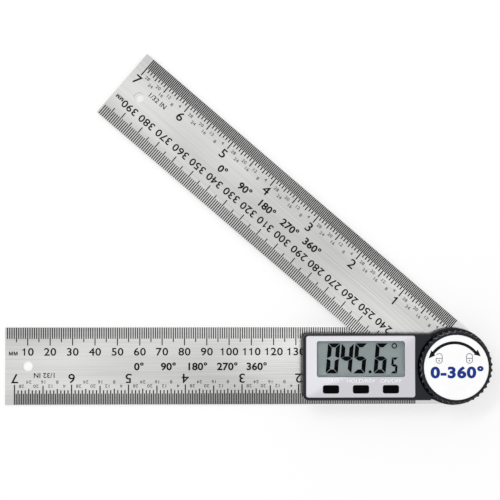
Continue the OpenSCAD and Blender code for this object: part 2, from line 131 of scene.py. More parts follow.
# %% Soft lamp at the upper left
KEY_PLACE = (-490, 450, 770)
KEY_AIM = (-40, 0, 10)
KEY_SIZE = (600, 160)
KEY_WATTS = 2.5


def lamp(name, place, aim, size, watts):
    """A rectangular soft lamp at a place, aimed at a point, both in millimetres."""
    data = bpy.data.lights.new(name, "AREA")
    data.shape = "RECTANGLE"
    data.size, data.size_y = size[0] * MM, size[1] * MM
    data.energy = watts
    obj = bpy.data.objects.new(name, data)
    scene.collection.objects.link(obj)
    obj.location = Vector(place) * MM
    obj.rotation_euler = (Vector(aim) - Vector(place)).to_track_quat("-Z", "Y").to_euler()
    return obj


key_lamp = lamp("upper_left_lamp", KEY_PLACE, KEY_AIM, KEY_SIZE, KEY_WATTS)
key_lamp.visible_glossy = False
print("key lamp", round((key_lamp.location / MM).length), "mm from the pivot")

# %% [markdown]
# A wide faint card over the ruler leaves its straight edge in the polished bezel.
# A mirror shows a point of the card where the card's mirror image lies. So each end of the
# line that the bezel is to show is carried past the bezel, from the camera, to the card's height.

# %% Card that the bezel mirrors
CARD_HEIGHT = 790.0
CARD_DEPTH = 90.0
CARD_SPREAD = 1.5
CARD_GLOW = 0.28


def mirrored(point):
    """The place at card height that the camera sees in a level mirror at a point."""
    eye = camera.location / MM
    rise = (CARD_HEIGHT - point.z) / (eye.z - point.z)
    return Vector((*(point.xy + (point.xy - eye.xy) * rise), CARD_HEIGHT))


bezel_low, bezel_high = corners("bezel")
line_start = mirrored(Vector((bezel_low.x, bezel_low.y, bezel_high.z)))
line_end = mirrored(bezel_high)
along = line_end - line_start
inward = Vector((-along.y, along.x, 0)).normalized()
card_size = (along.length * CARD_SPREAD, CARD_DEPTH)
card_place = (line_start + line_end) / 2 + inward * CARD_DEPTH / 2
card = lamp(
    "bezel_card", card_place, card_place - Vector((0, 0, 1)), card_size,
    CARD_GLOW * math.pi * card_size[0] * card_size[1] * MM**2)
card.rotation_euler = (0, 0, math.atan2(along.y, along.x))
print("card of", [round(v) for v in card_size], "mm")

# %% [markdown]
# The table is one flat square. It lies a hair below the ruler, because two faces in the same plane
# would flicker against each other. It belongs to the stage and not to the part.

# %% Floor
FLOOR_HALF = 3.0
FLOOR_DROP = 0.02

floor_bm = bmesh.new()
bmesh.ops.create_grid(floor_bm, x_segments=1, y_segments=1, size=FLOOR_HALF)
floor_mesh = bpy.data.meshes.new("floor")
floor_bm.to_mesh(floor_mesh)
floor_bm.free()
floor = bpy.data.objects.new("floor", floor_mesh)
floor.location = (0, 0, -FLOOR_DROP * MM)
scene.collection.objects.link(floor)
print("floor", tuple(round(v, 2) for v in floor.dimensions), "m")

# %% [markdown]
# The floor has to be white and still hold the soft shadow of the ruler. White paint alone would
# need more light than the ruler can take, so a share of what the viewer sees of the floor is a
# plain white glow, and the rest is paint that the shadow can darken.

# %% Paint and glow of the floor
FLOOR_GLOW = 0.55

paper = bpy.data.materials.new("white_paper")
paper.use_nodes = True
nodes, links = paper.node_tree.nodes, paper.node_tree.links
paint = nodes["Principled BSDF"]
paint.inputs["Base Color"].default_value = (1.0, 1.0, 1.0, 1)
paint.inputs["Roughness"].default_value = 0.9
paint.inputs["Specular IOR Level"].default_value = 0.0
glow = nodes.new("ShaderNodeEmission")
glow.inputs["Strength"].default_value = 1.0
path = nodes.new("ShaderNodeLightPath")
viewed = nodes.new("ShaderNodeMath")
viewed.operation = "MULTIPLY"
viewed.inputs[1].default_value = FLOOR_GLOW
links.new(path.outputs["Is Camera Ray"], viewed.inputs[0])
both = nodes.new("ShaderNodeMixShader")
links.new(viewed.outputs[0], both.inputs["Fac"])
links.new(paint.outputs[0], both.inputs[1])
links.new(glow.outputs[0], both.inputs[2])
links.new(both.outputs[0], nodes["Material Output"].inputs["Surface"])
floor_mesh.materials.append(paper)
print("floor glow", FLOOR_GLOW)

# %% [markdown]
# ## Finishes
# Every finish is one shader with a pattern or two in front of it. The pattern is noise in Object
# coordinates, and its grain is given in millimetres, so each finish has the right scale.
# A grain that is long one way and short the other becomes brushing.
# A value that is the same all over sits on the shader's own socket.

# %% A finish with constant values
def linear(rgb):
    """Linear colour from three sRGB numbers of 0 to 255."""
    return [c / 255 / 12.92 if c <= 10 else ((c / 255 + 0.055) / 1.055) ** 2.4 for c in rgb]


def finish(name, rgb, roughness, metallic=0.0, **sockets):
    """A material with one shader and constant values."""
    mat = bpy.data.materials.new(name)
    mat.use_nodes = True
    shader = mat.node_tree.nodes["Principled BSDF"]
    shader.inputs["Base Color"].default_value = (*linear(rgb), 1)
    shader.inputs["Roughness"].default_value = roughness
    shader.inputs["Metallic"].default_value = metallic
    for socket, value in sockets.items():
        shader.inputs[socket.replace("_", " ")].default_value = value
    return mat


print("sRGB 128 is", round(linear([128])[0], 3), "in linear light")

# %% [markdown]
# Real surfaces are never quite even. Noise can run a finish's colour or its polish between two
# values, or raise a fine relief. Most of the noise lies between 0.3 and 0.7, so that span is used.

# %% Patterns in front of a finish
NOISE_LOW, NOISE_HIGH = 0.3, 0.7


def grain(mat, size, detail=3.0, turn=0.0):
    """Noise whose grain is size millimetres along x, y and z, turned about z by radians."""
    nodes, links = mat.node_tree.nodes, mat.node_tree.links
    where = nodes.new("ShaderNodeTexCoord")
    place = nodes.new("ShaderNodeMapping")
    place.vector_type = "TEXTURE"
    place.inputs["Rotation"].default_value = (0, 0, turn)
    place.inputs["Scale"].default_value = [s * MM for s in size]
    noise = nodes.new("ShaderNodeTexNoise")
    noise.inputs["Scale"].default_value = 1.0
    noise.inputs["Detail"].default_value = detail
    links.new(where.outputs["Object"], place.inputs["Vector"])
    links.new(place.outputs["Vector"], noise.inputs["Vector"])
    return noise.outputs["Fac"]


def mixed(mat, one, other, share=0.5):
    """Two patterns in one, with the given share of the other."""
    mix = mat.node_tree.nodes.new("ShaderNodeMix")
    mix.inputs["Factor"].default_value = share
    mat.node_tree.links.new(one, mix.inputs["A"])
    mat.node_tree.links.new(other, mix.inputs["B"])
    return mix.outputs["Result"]


def tint(mat, pattern, dark, light, low=NOISE_LOW, high=NOISE_HIGH):
    """Lets a pattern run the base colour from dark to light."""
    ramp = mat.node_tree.nodes.new("ShaderNodeValToRGB")
    for stop, rgb, at in zip(ramp.color_ramp.elements, (dark, light), (low, high)):
        stop.color = (*linear(rgb), 1)
        stop.position = at
    mat.node_tree.links.new(pattern, ramp.inputs["Fac"])
    shader = mat.node_tree.nodes["Principled BSDF"]
    mat.node_tree.links.new(ramp.outputs["Color"], shader.inputs["Base Color"])


def polish(mat, pattern, low, high):
    """Lets a pattern run the roughness from low to high."""
    span = mat.node_tree.nodes.new("ShaderNodeMapRange")
    span.inputs["From Min"].default_value = NOISE_LOW
    span.inputs["From Max"].default_value = NOISE_HIGH
    span.inputs["To Min"].default_value = low
    span.inputs["To Max"].default_value = high
    mat.node_tree.links.new(pattern, span.inputs["Value"])
    shader = mat.node_tree.nodes["Principled BSDF"]
    mat.node_tree.links.new(span.outputs["Result"], shader.inputs["Roughness"])


def relief(mat, pattern, depth):
    """Raises the surface by a pattern, depth millimetres at most."""
    bump = mat.node_tree.nodes.new("ShaderNodeBump")
    bump.inputs["Distance"].default_value = depth * MM
    mat.node_tree.links.new(pattern, bump.inputs["Height"])
    shader = mat.node_tree.nodes["Principled BSDF"]
    mat.node_tree.links.new(bump.outputs["Normal"], shader.inputs["Normal"])


print("patterns use noise from", NOISE_LOW, "to", NOISE_HIGH)

# %% [markdown]
# The rules are rolled stainless strip, brushed along their length. An anisotropic shader could
# stretch the highlights, but under light from all sides the fine streaks themselves are what
# the eye sees. So the grain is some centimetres long and a third of a millimetre wide, and it
# carries colour, polish and a very shallow relief. The swinging rule turns its grain with it.

# %% Brushed stainless
OPEN_ANGLE = math.radians(40.6)


def brushed_steel(name, turn):
    """Stainless strip brushed along its length, which is turned about z by radians."""
    mat = finish(name, (212, 212, 211), 0.16, metallic=1.0)
    streaks = grain(mat, (60, 0.32, 5), detail=4, turn=turn)
    clouds = grain(mat, (70, 22, 5), detail=1, turn=turn)
    tint(mat, mixed(mat, streaks, clouds, 0.6), (181, 181, 180), (228, 228, 227))
    polish(mat, grain(mat, (25, 0.5, 5), detail=2, turn=turn), 0.12, 0.2)
    relief(mat, streaks, 0.0015)
    return mat


base_steel = brushed_steel("base_steel", 0.0)
swing_steel = brushed_steel("swing_steel", -OPEN_ANGLE)
turned_steel = finish("turned_steel", (196, 196, 198), 0.28, metallic=1.0)
relief(turned_steel, grain(turned_steel, (2, 2, 0.08), detail=2), 0.006)
print("steel for", base_steel.name, swing_steel.name, turned_steel.name)

# %% [markdown]
# The case and the knob are moulded in black plastic with a spark-eroded grain, which scatters
# the light and hides finger marks. The keys are softer and darker. Their low reflection keeps them
# black under a white world.

# %% Moulded black plastics and rubber
case_black = finish("case_black", (33, 34, 38), 0.42, Specular_IOR_Level=0.16)
case_grain = grain(case_black, (0.22, 0.22, 0.22), detail=2)
tint(case_black, case_grain, (28, 29, 33), (38, 39, 44))
relief(case_black, case_grain, 0.02)

knob_black = finish("knob_black", (13, 14, 21), 0.2, Specular_IOR_Level=0.2)
knob_grain = grain(knob_black, (0.3, 0.3, 0.3), detail=2)
tint(knob_black, knob_grain, (10, 11, 17), (17, 18, 26))
relief(knob_black, knob_grain, 0.006)

key_rubber = finish("key_rubber", (5, 5, 6), 0.55, Specular_IOR_Level=0.025)
key_grain = grain(key_rubber, (0.15, 0.15, 0.15), detail=2)
tint(key_rubber, key_grain, (3, 3, 4), (7, 7, 8))
relief(key_rubber, key_grain, 0.01)
print("black finishes:", case_black.name, knob_black.name, key_rubber.name)

# %% [markdown]
# The bezel is plastic with a metallic pearl coat: it mirrors softly, and tiny flakes show in it.
# The display glass is grey with a touch of green. Its window is a clear sheet
# with a matt film against glare, so it gets a low index of refraction and reflects little.

# %% Pearl bezel, display glass and window
pearl = finish("pearl_silver", (206, 205, 211), 0.06, metallic=1.0)
flakes = grain(pearl, (0.12, 0.12, 0.12), detail=1)
tint(pearl, flakes, (203, 202, 208), (211, 210, 216))
polish(pearl, grain(pearl, (0.4, 0.4, 0.4), detail=2), 0.03, 0.06)

lcd_grey = finish("lcd_grey", (140, 150, 151), 0.55, Specular_IOR_Level=0.1)
tint(lcd_grey, grain(lcd_grey, (14, 9, 5), detail=1), (137, 147, 148), (144, 153, 154))

clear_window = finish("clear_window", (255, 255, 255), 0.0, Transmission_Weight=1.0, IOR=1.03)
tint(clear_window, grain(clear_window, (9, 9, 9), detail=1), (253, 254, 254), (255, 255, 255))
print("display finishes:", pearl.name, lcd_grey.name, clear_window.name)

# %% [markdown]
# Inside the case sit boards, contacts and a coin cell. They only show when the tray slides out,
# but the model keeps them all, so each gets a real finish too.

# %% Finishes of the inner pieces
spring_steel = finish("spring_steel", (150, 152, 158), 0.3, metallic=1.0)
relief(spring_steel, grain(spring_steel, (1.5, 1.5, 0.05), detail=2), 0.004)
screw_steel = finish("screw_steel", (70, 70, 74), 0.4, metallic=1.0)
relief(screw_steel, grain(screw_steel, (0.2, 0.2, 0.2), detail=1), 0.01)
cell_steel = finish("cell_steel", (205, 205, 205), 0.25, metallic=1.0)
polish(cell_steel, grain(cell_steel, (3, 3, 3), detail=3), 0.18, 0.34)
switch_metal = finish("switch_metal", (170, 172, 176), 0.35, metallic=1.0)
relief(switch_metal, grain(switch_metal, (0.4, 0.4, 0.4), detail=1), 0.01)
contact_brass = finish("contact_brass", (214, 178, 96), 0.3, metallic=1.0)
polish(contact_brass, grain(contact_brass, (6, 0.2, 0.2), detail=2), 0.24, 0.42)
insert_brass = finish("insert_brass", (190, 152, 78), 0.32, metallic=1.0)
relief(insert_brass, grain(insert_brass, (3, 3, 0.35), detail=0), 0.06)
slip_nylon = finish("slip_nylon", (232, 228, 214), 0.5, Subsurface_Weight=0.1)
tint(slip_nylon, grain(slip_nylon, (2, 2, 2), detail=2), (226, 222, 207), (236, 232, 219))
board_green = finish("board_green", (24, 88, 52), 0.35, Coat_Weight=0.4)
tracks = grain(board_green, (3, 0.5, 3), detail=0)
tint(board_green, tracks, (19, 76, 43), (33, 108, 66), 0.48, 0.52)
rotor_board = finish("rotor_board", (196, 160, 70), 0.35, metallic=0.6)
fields = grain(rotor_board, (0.8, 0.8, 0.8), detail=0)
tint(rotor_board, fields, (28, 92, 55), (206, 172, 84), 0.44, 0.5)
ribbon_amber = finish("ribbon_amber", (178, 104, 36), 0.3, Coat_Weight=0.5)
wires = grain(ribbon_amber, (40, 0.5, 40), detail=0)
tint(ribbon_amber, wires, (150, 80, 24), (196, 124, 52), 0.46, 0.54)
zebra_rubber = finish("zebra_rubber", (206, 120, 150), 0.6)
layers = grain(zebra_rubber, (0.25, 40, 40), detail=0)
tint(zebra_rubber, layers, (34, 30, 32), (216, 132, 160), 0.46, 0.54)
chip_black = finish("chip_black", (28, 28, 30), 0.5, Specular_IOR_Level=0.3)
relief(chip_black, grain(chip_black, (0.1, 0.1, 0.1), detail=2), 0.01)

label_white = finish("label_white", (253, 253, 253), 0.4, Specular_IOR_Level=0.1)
tint(label_white, grain(label_white, (5, 5, 5), detail=2), (251, 251, 252), (255, 255, 255))
print("inner finishes from", spring_steel.name, "to", label_white.name)

# %% [markdown]
# Each solid came from the CAD source with a named slot for its material. One table gives every slot
# its finish, so a solid that is added later only needs a slot name that is in the table.

# %% Finishes on the solids
FINISH_OF_SLOT = {
    "turned_steel": turned_steel, "slip_nylon": slip_nylon, "case_black": case_black,
    "screw_steel": screw_steel, "bezel_silver": pearl, "lens_clear": clear_window,
    "lcd_glass": lcd_grey, "zebra_rubber": zebra_rubber, "board_green": board_green,
    "chip_black": chip_black, "switch_metal": switch_metal, "ribbon_amber": ribbon_amber,
    "contact_brass": contact_brass, "spring_steel": spring_steel, "rotor_board": rotor_board,
    "knob_black": knob_black, "insert_brass": insert_brass, "label_white": label_white,
    "button_black": key_rubber, "cell_steel": cell_steel, "blade_steel": base_steel,
}
for name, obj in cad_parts.items():
    for place in obj.material_slots:
        place.material = FINISH_OF_SLOT[place.material.name.split(".")[0]]
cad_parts["swing_blade"].material_slots[0].material = swing_steel
print("finishes on", len(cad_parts), "solids")

# %% [markdown]
# ## Softened edges
# No moulded or stamped edge is perfectly sharp: it catches a thin line of light. The solids have
# the right shape, so the quickest true way is to copy a solid's mesh, merge its loose triangles,
# dissolve the flat ones into whole faces and bevel the edges that a hand would touch.
# A Bevel modifier on the solid itself would do nothing, because its triangles aren't joined.

# %% Tools for pieces
HAIR = 0.01
JOIN = 0.002


def make_piece(name, bm, material, body, smooth=30.0):
    """Scales a mesh from millimetres, gives it a finish and lets it ride on a body."""
    bmesh.ops.scale(bm, vec=(MM, MM, MM), verts=bm.verts)
    open_edges = sum(not e.is_manifold for e in bm.edges)
    mesh = bpy.data.meshes.new(name)
    bm.to_mesh(mesh)
    bm.free()
    mesh.materials.append(material)
    if smooth:
        mesh.shade_smooth()
        mesh.set_sharp_from_angle(angle=math.radians(smooth))
    obj = bpy.data.objects.new(name, mesh)
    scene.collection.objects.link(obj)
    if smooth:
        even = obj.modifiers.new("even_shading", "WEIGHTED_NORMAL")
        even.keep_sharp = True
    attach(obj, body)
    print(f"{name}: {len(mesh.polygons)} faces, {open_edges} open edges, rides on {body}")
    return obj


def merged_copy(node):
    """A solid's mesh in millimetres, with its triangles joined into whole faces."""
    bm = bmesh.new()
    bm.from_mesh(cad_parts[node].data)
    bmesh.ops.scale(bm, vec=(1 / MM, 1 / MM, 1 / MM), verts=bm.verts)
    bmesh.ops.remove_doubles(bm, verts=bm.verts, dist=JOIN)
    bmesh.ops.dissolve_limit(
        bm, angle_limit=math.radians(0.5), verts=bm.verts, edges=bm.edges)
    return bm


def soften(bm, width, segments, touched, corner=25.0):
    """Rounds the sharp edges whose two ends both pass the test touched(point)."""
    edges = [
        e for e in bm.edges
        if e.calc_face_angle(0) > math.radians(corner) and all(touched(v.co) for v in e.verts)
    ]
    bmesh.ops.bevel(
        bm, geom=edges, offset=width, offset_type="OFFSET", affect="EDGES", segments=segments,
        profile=0.5, material=-1, clamp_overlap=True)
    return len(edges)


sample = merged_copy("housing")
triangles = len(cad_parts["housing"].data.polygons)
print("the case's", triangles, "triangles become", len(sample.faces), "faces")
sample.free()

# %% [markdown]
# The rules are stamped from strip, and a file or a tumbling drum breaks their edges. A break of a
# few hundredths of a millimetre is enough for a line of light, and it keeps the ends straight.

# %% Rules with broken edges
EDGE_BREAK = 0.06


def broken_edges(node, name, material, body):
    """A rule whose stamped edges have been broken with a file."""
    bm = merged_copy(node)
    soften(bm, EDGE_BREAK, 2, lambda p: True)
    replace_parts(make_piece(name, bm, material, body), node)


broken_edges("base_blade", "base_rule", base_steel, "base")
broken_edges("swing_blade", "swing_rule", swing_steel, "swing_arm")

# %% [markdown]
# On the case only the outer rims are rounded: the deck's rim, the round end's rim and the well
# around the knob. Edges inside the case stay as they are, because nobody can see or touch them.

# %% Case with rounded rims
CASE_ROUND = 0.2
RIM_REACH = 0.7
case_high = corners("housing")[1]
END_RADIUS = case_high.x
END_TOP = corners("spring_washer")[0].z


def on_case_rim(p):
    """True on the upper rims of the case that a hand can reach."""
    on_deck = p.z > case_high.z - RIM_REACH
    on_round_end = abs(p.z - END_TOP) < RIM_REACH and p.xy.length > END_RADIUS - RIM_REACH
    return on_deck or on_round_end


case_bm = merged_copy("housing")
print(soften(case_bm, CASE_ROUND, 3, on_case_rim), "rim edges rounded")
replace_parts(make_piece("case_shell", case_bm, case_black, "base"), "housing")

# %% [markdown]
# The bezel is a thin coated plate, and its upper edges are rolled over a little. The same copy and
# bevel as for the case serve here, on every edge near the plate's top.

# %% Bezel with a rolled rim
BEZEL_ROUND = 0.18
BEZEL_RIM = 0.35


def on_bezel_rim(p):
    """True on the edges near the top of the plate."""
    return p.z > bezel_high.z - BEZEL_RIM


bezel_bm = merged_copy("bezel")
print(soften(bezel_bm, BEZEL_ROUND, 3, on_bezel_rim), "bezel edges rounded")
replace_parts(make_piece("bezel_plate", bezel_bm, pearl, "base"), "bezel")

# %% [markdown]
# The keys are rubber caps with a generous round along their upper rim. Each cap rides on its own
# body, so it goes down with its key.

# %% Keys
KEY_BODIES = {"zero_button": "zero_key", "hold_button": "hold_key", "power_button": "power_key"}
KEY_ROUND = 0.4
for node, body in KEY_BODIES.items():
    key_top = corners(node)[1].z
    key_bm = merged_copy(node)
    soften(key_bm, KEY_ROUND, 4, lambda p: p.z > key_top - HAIR)
    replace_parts(make_piece(body + "_cap", key_bm, key_rubber, body), node)

# %% [markdown]
# The clear window gets a fine polished edge. Its underside is lifted by a few hundredths, for the
# same reason that the floor lies lower: it would share a plane with the display below it.

# %% Window
WINDOW_LIFT = 0.04
WINDOW_ROUND = 0.1
window_low, window_high = corners("display_lens")
window_bm = merged_copy("display_lens")
underside = [v for v in window_bm.verts if v.co.z < window_low.z + HAIR]
bmesh.ops.translate(window_bm, vec=(0, 0, WINDOW_LIFT), verts=underside)
soften(window_bm, WINDOW_ROUND, 2, lambda p: p.z > window_high.z - HAIR)
window_pane = make_piece("window_pane", window_bm, clear_window, "base")
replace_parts(window_pane, "display_lens")

# %% [markdown]
# ## The lock knob
# The knob is a moulded cap with 38 finger flutes. It could be a cylinder with 38 cuts, but cuts
# leave knife edges. Here its half section is spun into a full cap, the rims are bevelled, and then
# each point that stands outside a flute's round is pulled in to it. Where flute and cap cross, the
# two radii blend over a short distance, which is the moulded round that catches the light.

# %% Knob spun from its section
knob_low, knob_high = corners("lock_knob")
label_low, label_high = corners("knob_label")
insert_low, insert_high = corners("knob_insert")
KNOB_RADIUS = knob_high.y
LABEL_HOLE = label_high.x + 0.05
HUB_RADIUS = 6.4
ROOF_HEIGHT = 12.5
SKIRT_INSIDE = 14.1
FOOT_BREAK = 0.3
CONE_DROP = 1.1
LABEL_LIP = 0.6
THROAT_RADIUS = 5.4
KNOB_ROUND = 0.22
SIDE_CUTS = 9
FLUTES = 38
STEPS_PER_FLUTE = 20

section = [
    (insert_high.x, insert_low.z), (HUB_RADIUS, insert_low.z), (HUB_RADIUS, ROOF_HEIGHT),
    (SKIRT_INSIDE, ROOF_HEIGHT), (SKIRT_INSIDE, knob_low.z),
    (KNOB_RADIUS - FOOT_BREAK, knob_low.z), (KNOB_RADIUS, knob_low.z + FOOT_BREAK),
    (KNOB_RADIUS, knob_high.z - CONE_DROP), (LABEL_HOLE + LABEL_LIP, knob_high.z),
    (LABEL_HOLE, knob_high.z), (LABEL_HOLE, label_low.z), (THROAT_RADIUS, label_low.z),
    (THROAT_RADIUS, insert_high.z), (insert_high.x, insert_high.z),
]
knob_bm = bmesh.new()
ring = [knob_bm.verts.new((r, 0, z)) for r, z in section]
outline = [knob_bm.edges.new((a, b)) for a, b in zip(ring, ring[1:] + ring[:1])]
side_wall, cone = outline[6:8]
bmesh.ops.subdivide_edges(knob_bm, edges=[side_wall, cone], cuts=SIDE_CUTS)
bmesh.ops.spin(
    knob_bm, geom=knob_bm.verts[:] + knob_bm.edges[:], cent=(0, 0, 0), axis=(0, 0, 1),
    angle=2 * math.pi, steps=FLUTES * STEPS_PER_FLUTE, use_merge=True)
bmesh.ops.remove_doubles(knob_bm, verts=knob_bm.verts, dist=0.001)
bmesh.ops.recalc_face_normals(knob_bm, faces=knob_bm.faces)


def on_knob_rim(p):
    """True on the outside of the cap and on the rim around the label."""
    return p.xy.length > LABEL_HOLE - HAIR and p.z > label_low.z + 0.1


soften(knob_bm, KNOB_ROUND, 3, on_knob_rim)
print(len(knob_bm.verts), "points in the spun knob")

# %% [markdown]
# A flute is part of a cylinder whose axis lies just outside the cap. Seen from above its wall is an
# arc, and the arc gives the radius that the cap may have at each angle.

# %% Flutes pulled into its side
FLUTE_RADIUS = 1.1
FLUTE_DEPTH = 0.55
FLUTE_EDGE = 0.3


def flute_wall(angle):
    """Radius of the flute's round at an angle, or a large one on the land between flutes."""
    pitch = 2 * math.pi / FLUTES
    off = (angle + pitch / 2) % pitch - pitch / 2
    across = KNOB_RADIUS * off
    if abs(across) >= FLUTE_RADIUS:
        return 2 * KNOB_RADIUS
    return KNOB_RADIUS + FLUTE_RADIUS - FLUTE_DEPTH - math.sqrt(FLUTE_RADIUS**2 - across**2)


pulled = 0
for v in knob_bm.verts:
    radius = v.co.xy.length
    wall = flute_wall(math.atan2(v.co.y, v.co.x))
    if radius > wall - FLUTE_EDGE:
        blended = (radius + wall - math.hypot(radius - wall, FLUTE_EDGE)) / 2
        v.co.xy *= blended / radius
        pulled += 1
print(pulled, "points pulled in to", FLUTES, "flutes")
knob_grip = make_piece("knob_grip", knob_bm, knob_black, "knob", 40)
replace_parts(knob_grip, "lock_knob")

# %% [markdown]
# Black plastic on a white table shows its shape by highlights alone. Two narrow lamps stand low,
# one beyond the ruler and one at its left, and glint in the rounds of the flutes. In the polished
# bezel they would burn out, so light linking lets them reach the knob only, as flags would that a
# photographer sets up around a lamp.

# %% Narrow lamps for the flutes
FLUTE_GLARE = 45.0
STRIPS = {
    "far_strip": ((-180, 676, 60), (600, 60)),
    "left_strip": ((-690, -60, 60), (300, 60)),
}
knob_only = bpy.data.collections.new("knob_only")
knob_only.objects.link(knob_grip)
for name, (place, size) in STRIPS.items():
    watts = FLUTE_GLARE * math.pi * size[0] * size[1] * MM**2
    strip = lamp(name, place, (0, 0, knob_high.z), size, watts)
    strip.light_linking.receiver_collection = knob_only
    print(f"{name}: {watts:.1f} W on the knob alone")

# %% [markdown]
# ## Printing
# Scales, figures and signs are inks and etchings a few hundredths of a millimetre thick. An image
# on the surface would blur when the view comes close. So every mark is a flat face first, made in
# the plane of its rule, and one extrusion gives all marks their thickness.

# %% Flat marks
ARC_STEP = 7.5


def bar(bm, x, y, width, length):
    """A flat bar centred on x, y."""
    size = Matrix.Diagonal((width, length, 1, 1))
    bmesh.ops.create_grid(
        bm, x_segments=1, y_segments=1, size=0.5, matrix=Matrix.Translation((x, y, 0)) @ size)


def patch(bm, points):
    """A flat face inside a closed outline of points."""
    verts = [bm.verts.new((x, y, 0)) for x, y in points]
    rim = [bm.edges.new(pair) for pair in zip(verts, verts[1:] + verts[:1])]
    bmesh.ops.contextual_create(bm, geom=rim)


def arc(bm, centre, radius, width, start, end):
    """A flat arc from one angle to another, in degrees."""
    turn = math.radians(end - start)
    spoke = Matrix.Translation((*centre, 0)) @ Matrix.Rotation(math.radians(start), 4, "Z")
    ends = [bm.verts.new(spoke @ Vector((radius + s * width / 2, 0, 0))) for s in (-1, 1)]
    edge = bm.edges.new(ends)
    full = abs(end - start) >= 360
    bmesh.ops.spin(
        bm, geom=[*ends, edge], cent=(*centre, 0), axis=(0, 0, 1), angle=turn,
        steps=max(4, round(abs(end - start) / ARC_STEP)), use_merge=full)


print("arcs are drawn in steps of about", ARC_STEP, "degrees")

# %% [markdown]
# The flat marks of one ink become one piece. Their faces are all turned up first, so that the
# extrusion gives closed bodies whose sides face outwards.

# %% Marks with a thickness
INK_HEIGHT = 0.02


def print_marks(name, bm, z, ink, body, turn=0.0):
    """Gives flat marks their thickness at a height, turned about the pivot with their rule."""
    bmesh.ops.remove_doubles(bm, verts=bm.verts, dist=0.0005)
    for face in bm.faces:
        if face.normal.z < 0:
            face.normal_flip()
    flat = bm.faces[:]
    raised = bmesh.ops.extrude_face_region(bm, geom=flat, use_keep_orig=True)["geom"]
    tops = [g for g in raised if isinstance(g, bmesh.types.BMVert)]
    bmesh.ops.translate(bm, vec=(0, 0, INK_HEIGHT), verts=tops)
    bmesh.ops.reverse_faces(bm, faces=flat)
    place = Matrix.Translation((0, 0, z)) @ Matrix.Rotation(turn, 4, "Z")
    bmesh.ops.transform(bm, matrix=place, verts=bm.verts)
    return make_piece(name, bm, ink, body, smooth=None)


print("ink is", INK_HEIGHT, "mm thick")

# %% [markdown]
# Figures come from Blender's own font. A text object is turned into a mesh once for each word,
# then copies of that mesh are scaled to the figure height, turned and set down.

# %% Tools for figures
words = {}


def thicken(mesh, weight):
    """Grows flat letters outwards: an inset below zero, whose folded rim is deleted."""
    bm = bmesh.new()
    bm.from_mesh(mesh)
    bmesh.ops.remove_doubles(bm, verts=bm.verts, dist=1e-5)
    bmesh.ops.dissolve_limit(
        bm, angle_limit=math.radians(1), verts=bm.verts, edges=bm.edges)
    rim = bmesh.ops.inset_region(
        bm, faces=bm.faces[:], thickness=-weight, use_boundary=True, use_even_offset=True)
    bmesh.ops.delete(bm, geom=rim["faces"], context="FACES")
    bm.to_mesh(mesh)
    bm.free()


def word_mesh(body, weight, spread, steps=3):
    """Flat mesh of a word with figures 1 unit tall, centred on the origin."""
    key = (body, weight, spread, steps)
    if key not in words:
        curve = bpy.data.curves.new("word", "FONT")
        curve.body = body
        curve.resolution_u = steps
        curve.space_character = spread
        text = bpy.data.objects.new("word", curve)
        scene.collection.objects.link(text)
        mesh = bpy.data.meshes.new_from_object(
            text.evaluated_get(bpy.context.evaluated_depsgraph_get()))
        bpy.data.objects.remove(text)
        thicken(mesh, weight)
        xs = [v.co.x for v in mesh.vertices]
        middle = (min(xs) + max(xs)) / 2
        mesh.transform(Matrix.Translation((-middle, -FIGURE_TALL / 2, 0)))
        mesh.transform(Matrix.Scale(1 / FIGURE_TALL, 4))
        words[key] = mesh
    return words[key]


FIGURE_TALL = 1.0
figure_one = word_mesh("1", 0.0, 1.0)
FIGURE_TALL = max(v.co.y for v in figure_one.vertices) - min(v.co.y for v in figure_one.vertices)
words.clear()
print(f"a figure of this font is {FIGURE_TALL:.3f} of its size")


def write(bm, body, x, y, height, turn=0.0, weight=0.012, stretch=1.0, spread=1.0, steps=3):
    """Sets a word down with its middle at x, y, figures of a height, turned by radians."""
    mesh = word_mesh(body, weight, spread, steps).copy()
    size = Matrix.Diagonal((height * stretch, height, 1, 1))
    mesh.transform(Matrix.Translation((x, y, 0)) @ Matrix.Rotation(turn, 4, "Z") @ size)
    bm.from_mesh(mesh)
    bpy.data.meshes.remove(mesh)


# %% [markdown]
# ## The scales
# Each rule has a millimetre scale along one edge and an inch scale with 32 parts along the other,
# and the tops of the figures face their own edge. Both rules come from the same strip, so one
# description serves them: every mark is placed from the free end, and the swinging rule, which is
# 5 mm shorter, counts on from 200 to 400.
# One loop over whole millimetres and one over thirty-seconds place every line.

# %% Lines of a scale
HALF_WIDTH = 17.25
INCH = 25.4
INCHES = 7
LAST_INCH = 4.2
MM_LINE = 0.46
INCH_LINE = 0.53
LAST_LINE = 182
FIRST_PART = -2
MM_LENGTHS = {10: 8.0, 5: 6.5, 1: 5.0}
INCH_LENGTHS = {32: 8.9, 16: 8.4, 8: 7.0, 2: 6.4, 1: 4.9}


def line_length(n, lengths):
    """Length of a scale's line: the longest one whose step the line's number fits."""
    return next(length for step, length in lengths.items() if n % step == 0)


def edge_line(bm, x, edge, length, width):
    """A line that starts at the rule's edge, +1 for the upper one and -1 for the lower."""
    bar(bm, x, edge * (HALF_WIDTH - EDGE_BREAK - length / 2), width, length)


def millimetre_lines(bm, edge, reach):
    """Lines every millimetre from the free end, on a rule that reaches so far from the pivot."""
    for d in range(1, LAST_LINE):
        edge_line(bm, d - reach, edge, line_length(d, MM_LENGTHS), MM_LINE)


def inch_place(inches, reach):
    """Where an inch mark lies: the last one is a little in from the free end."""
    return LAST_INCH - reach + (INCHES - inches) * INCH


def inch_lines(bm, edge, reach):
    """Lines every thirty-second of an inch."""
    for n in range(FIRST_PART, INCHES * 32 + 1):
        edge_line(bm, inch_place(n / 32, reach), edge, line_length(n, INCH_LENGTHS), INCH_LINE)


print("lines on a rule:", LAST_LINE - 1, "mm and", INCHES * 32 + 1 - FIRST_PART, "parts of an inch")

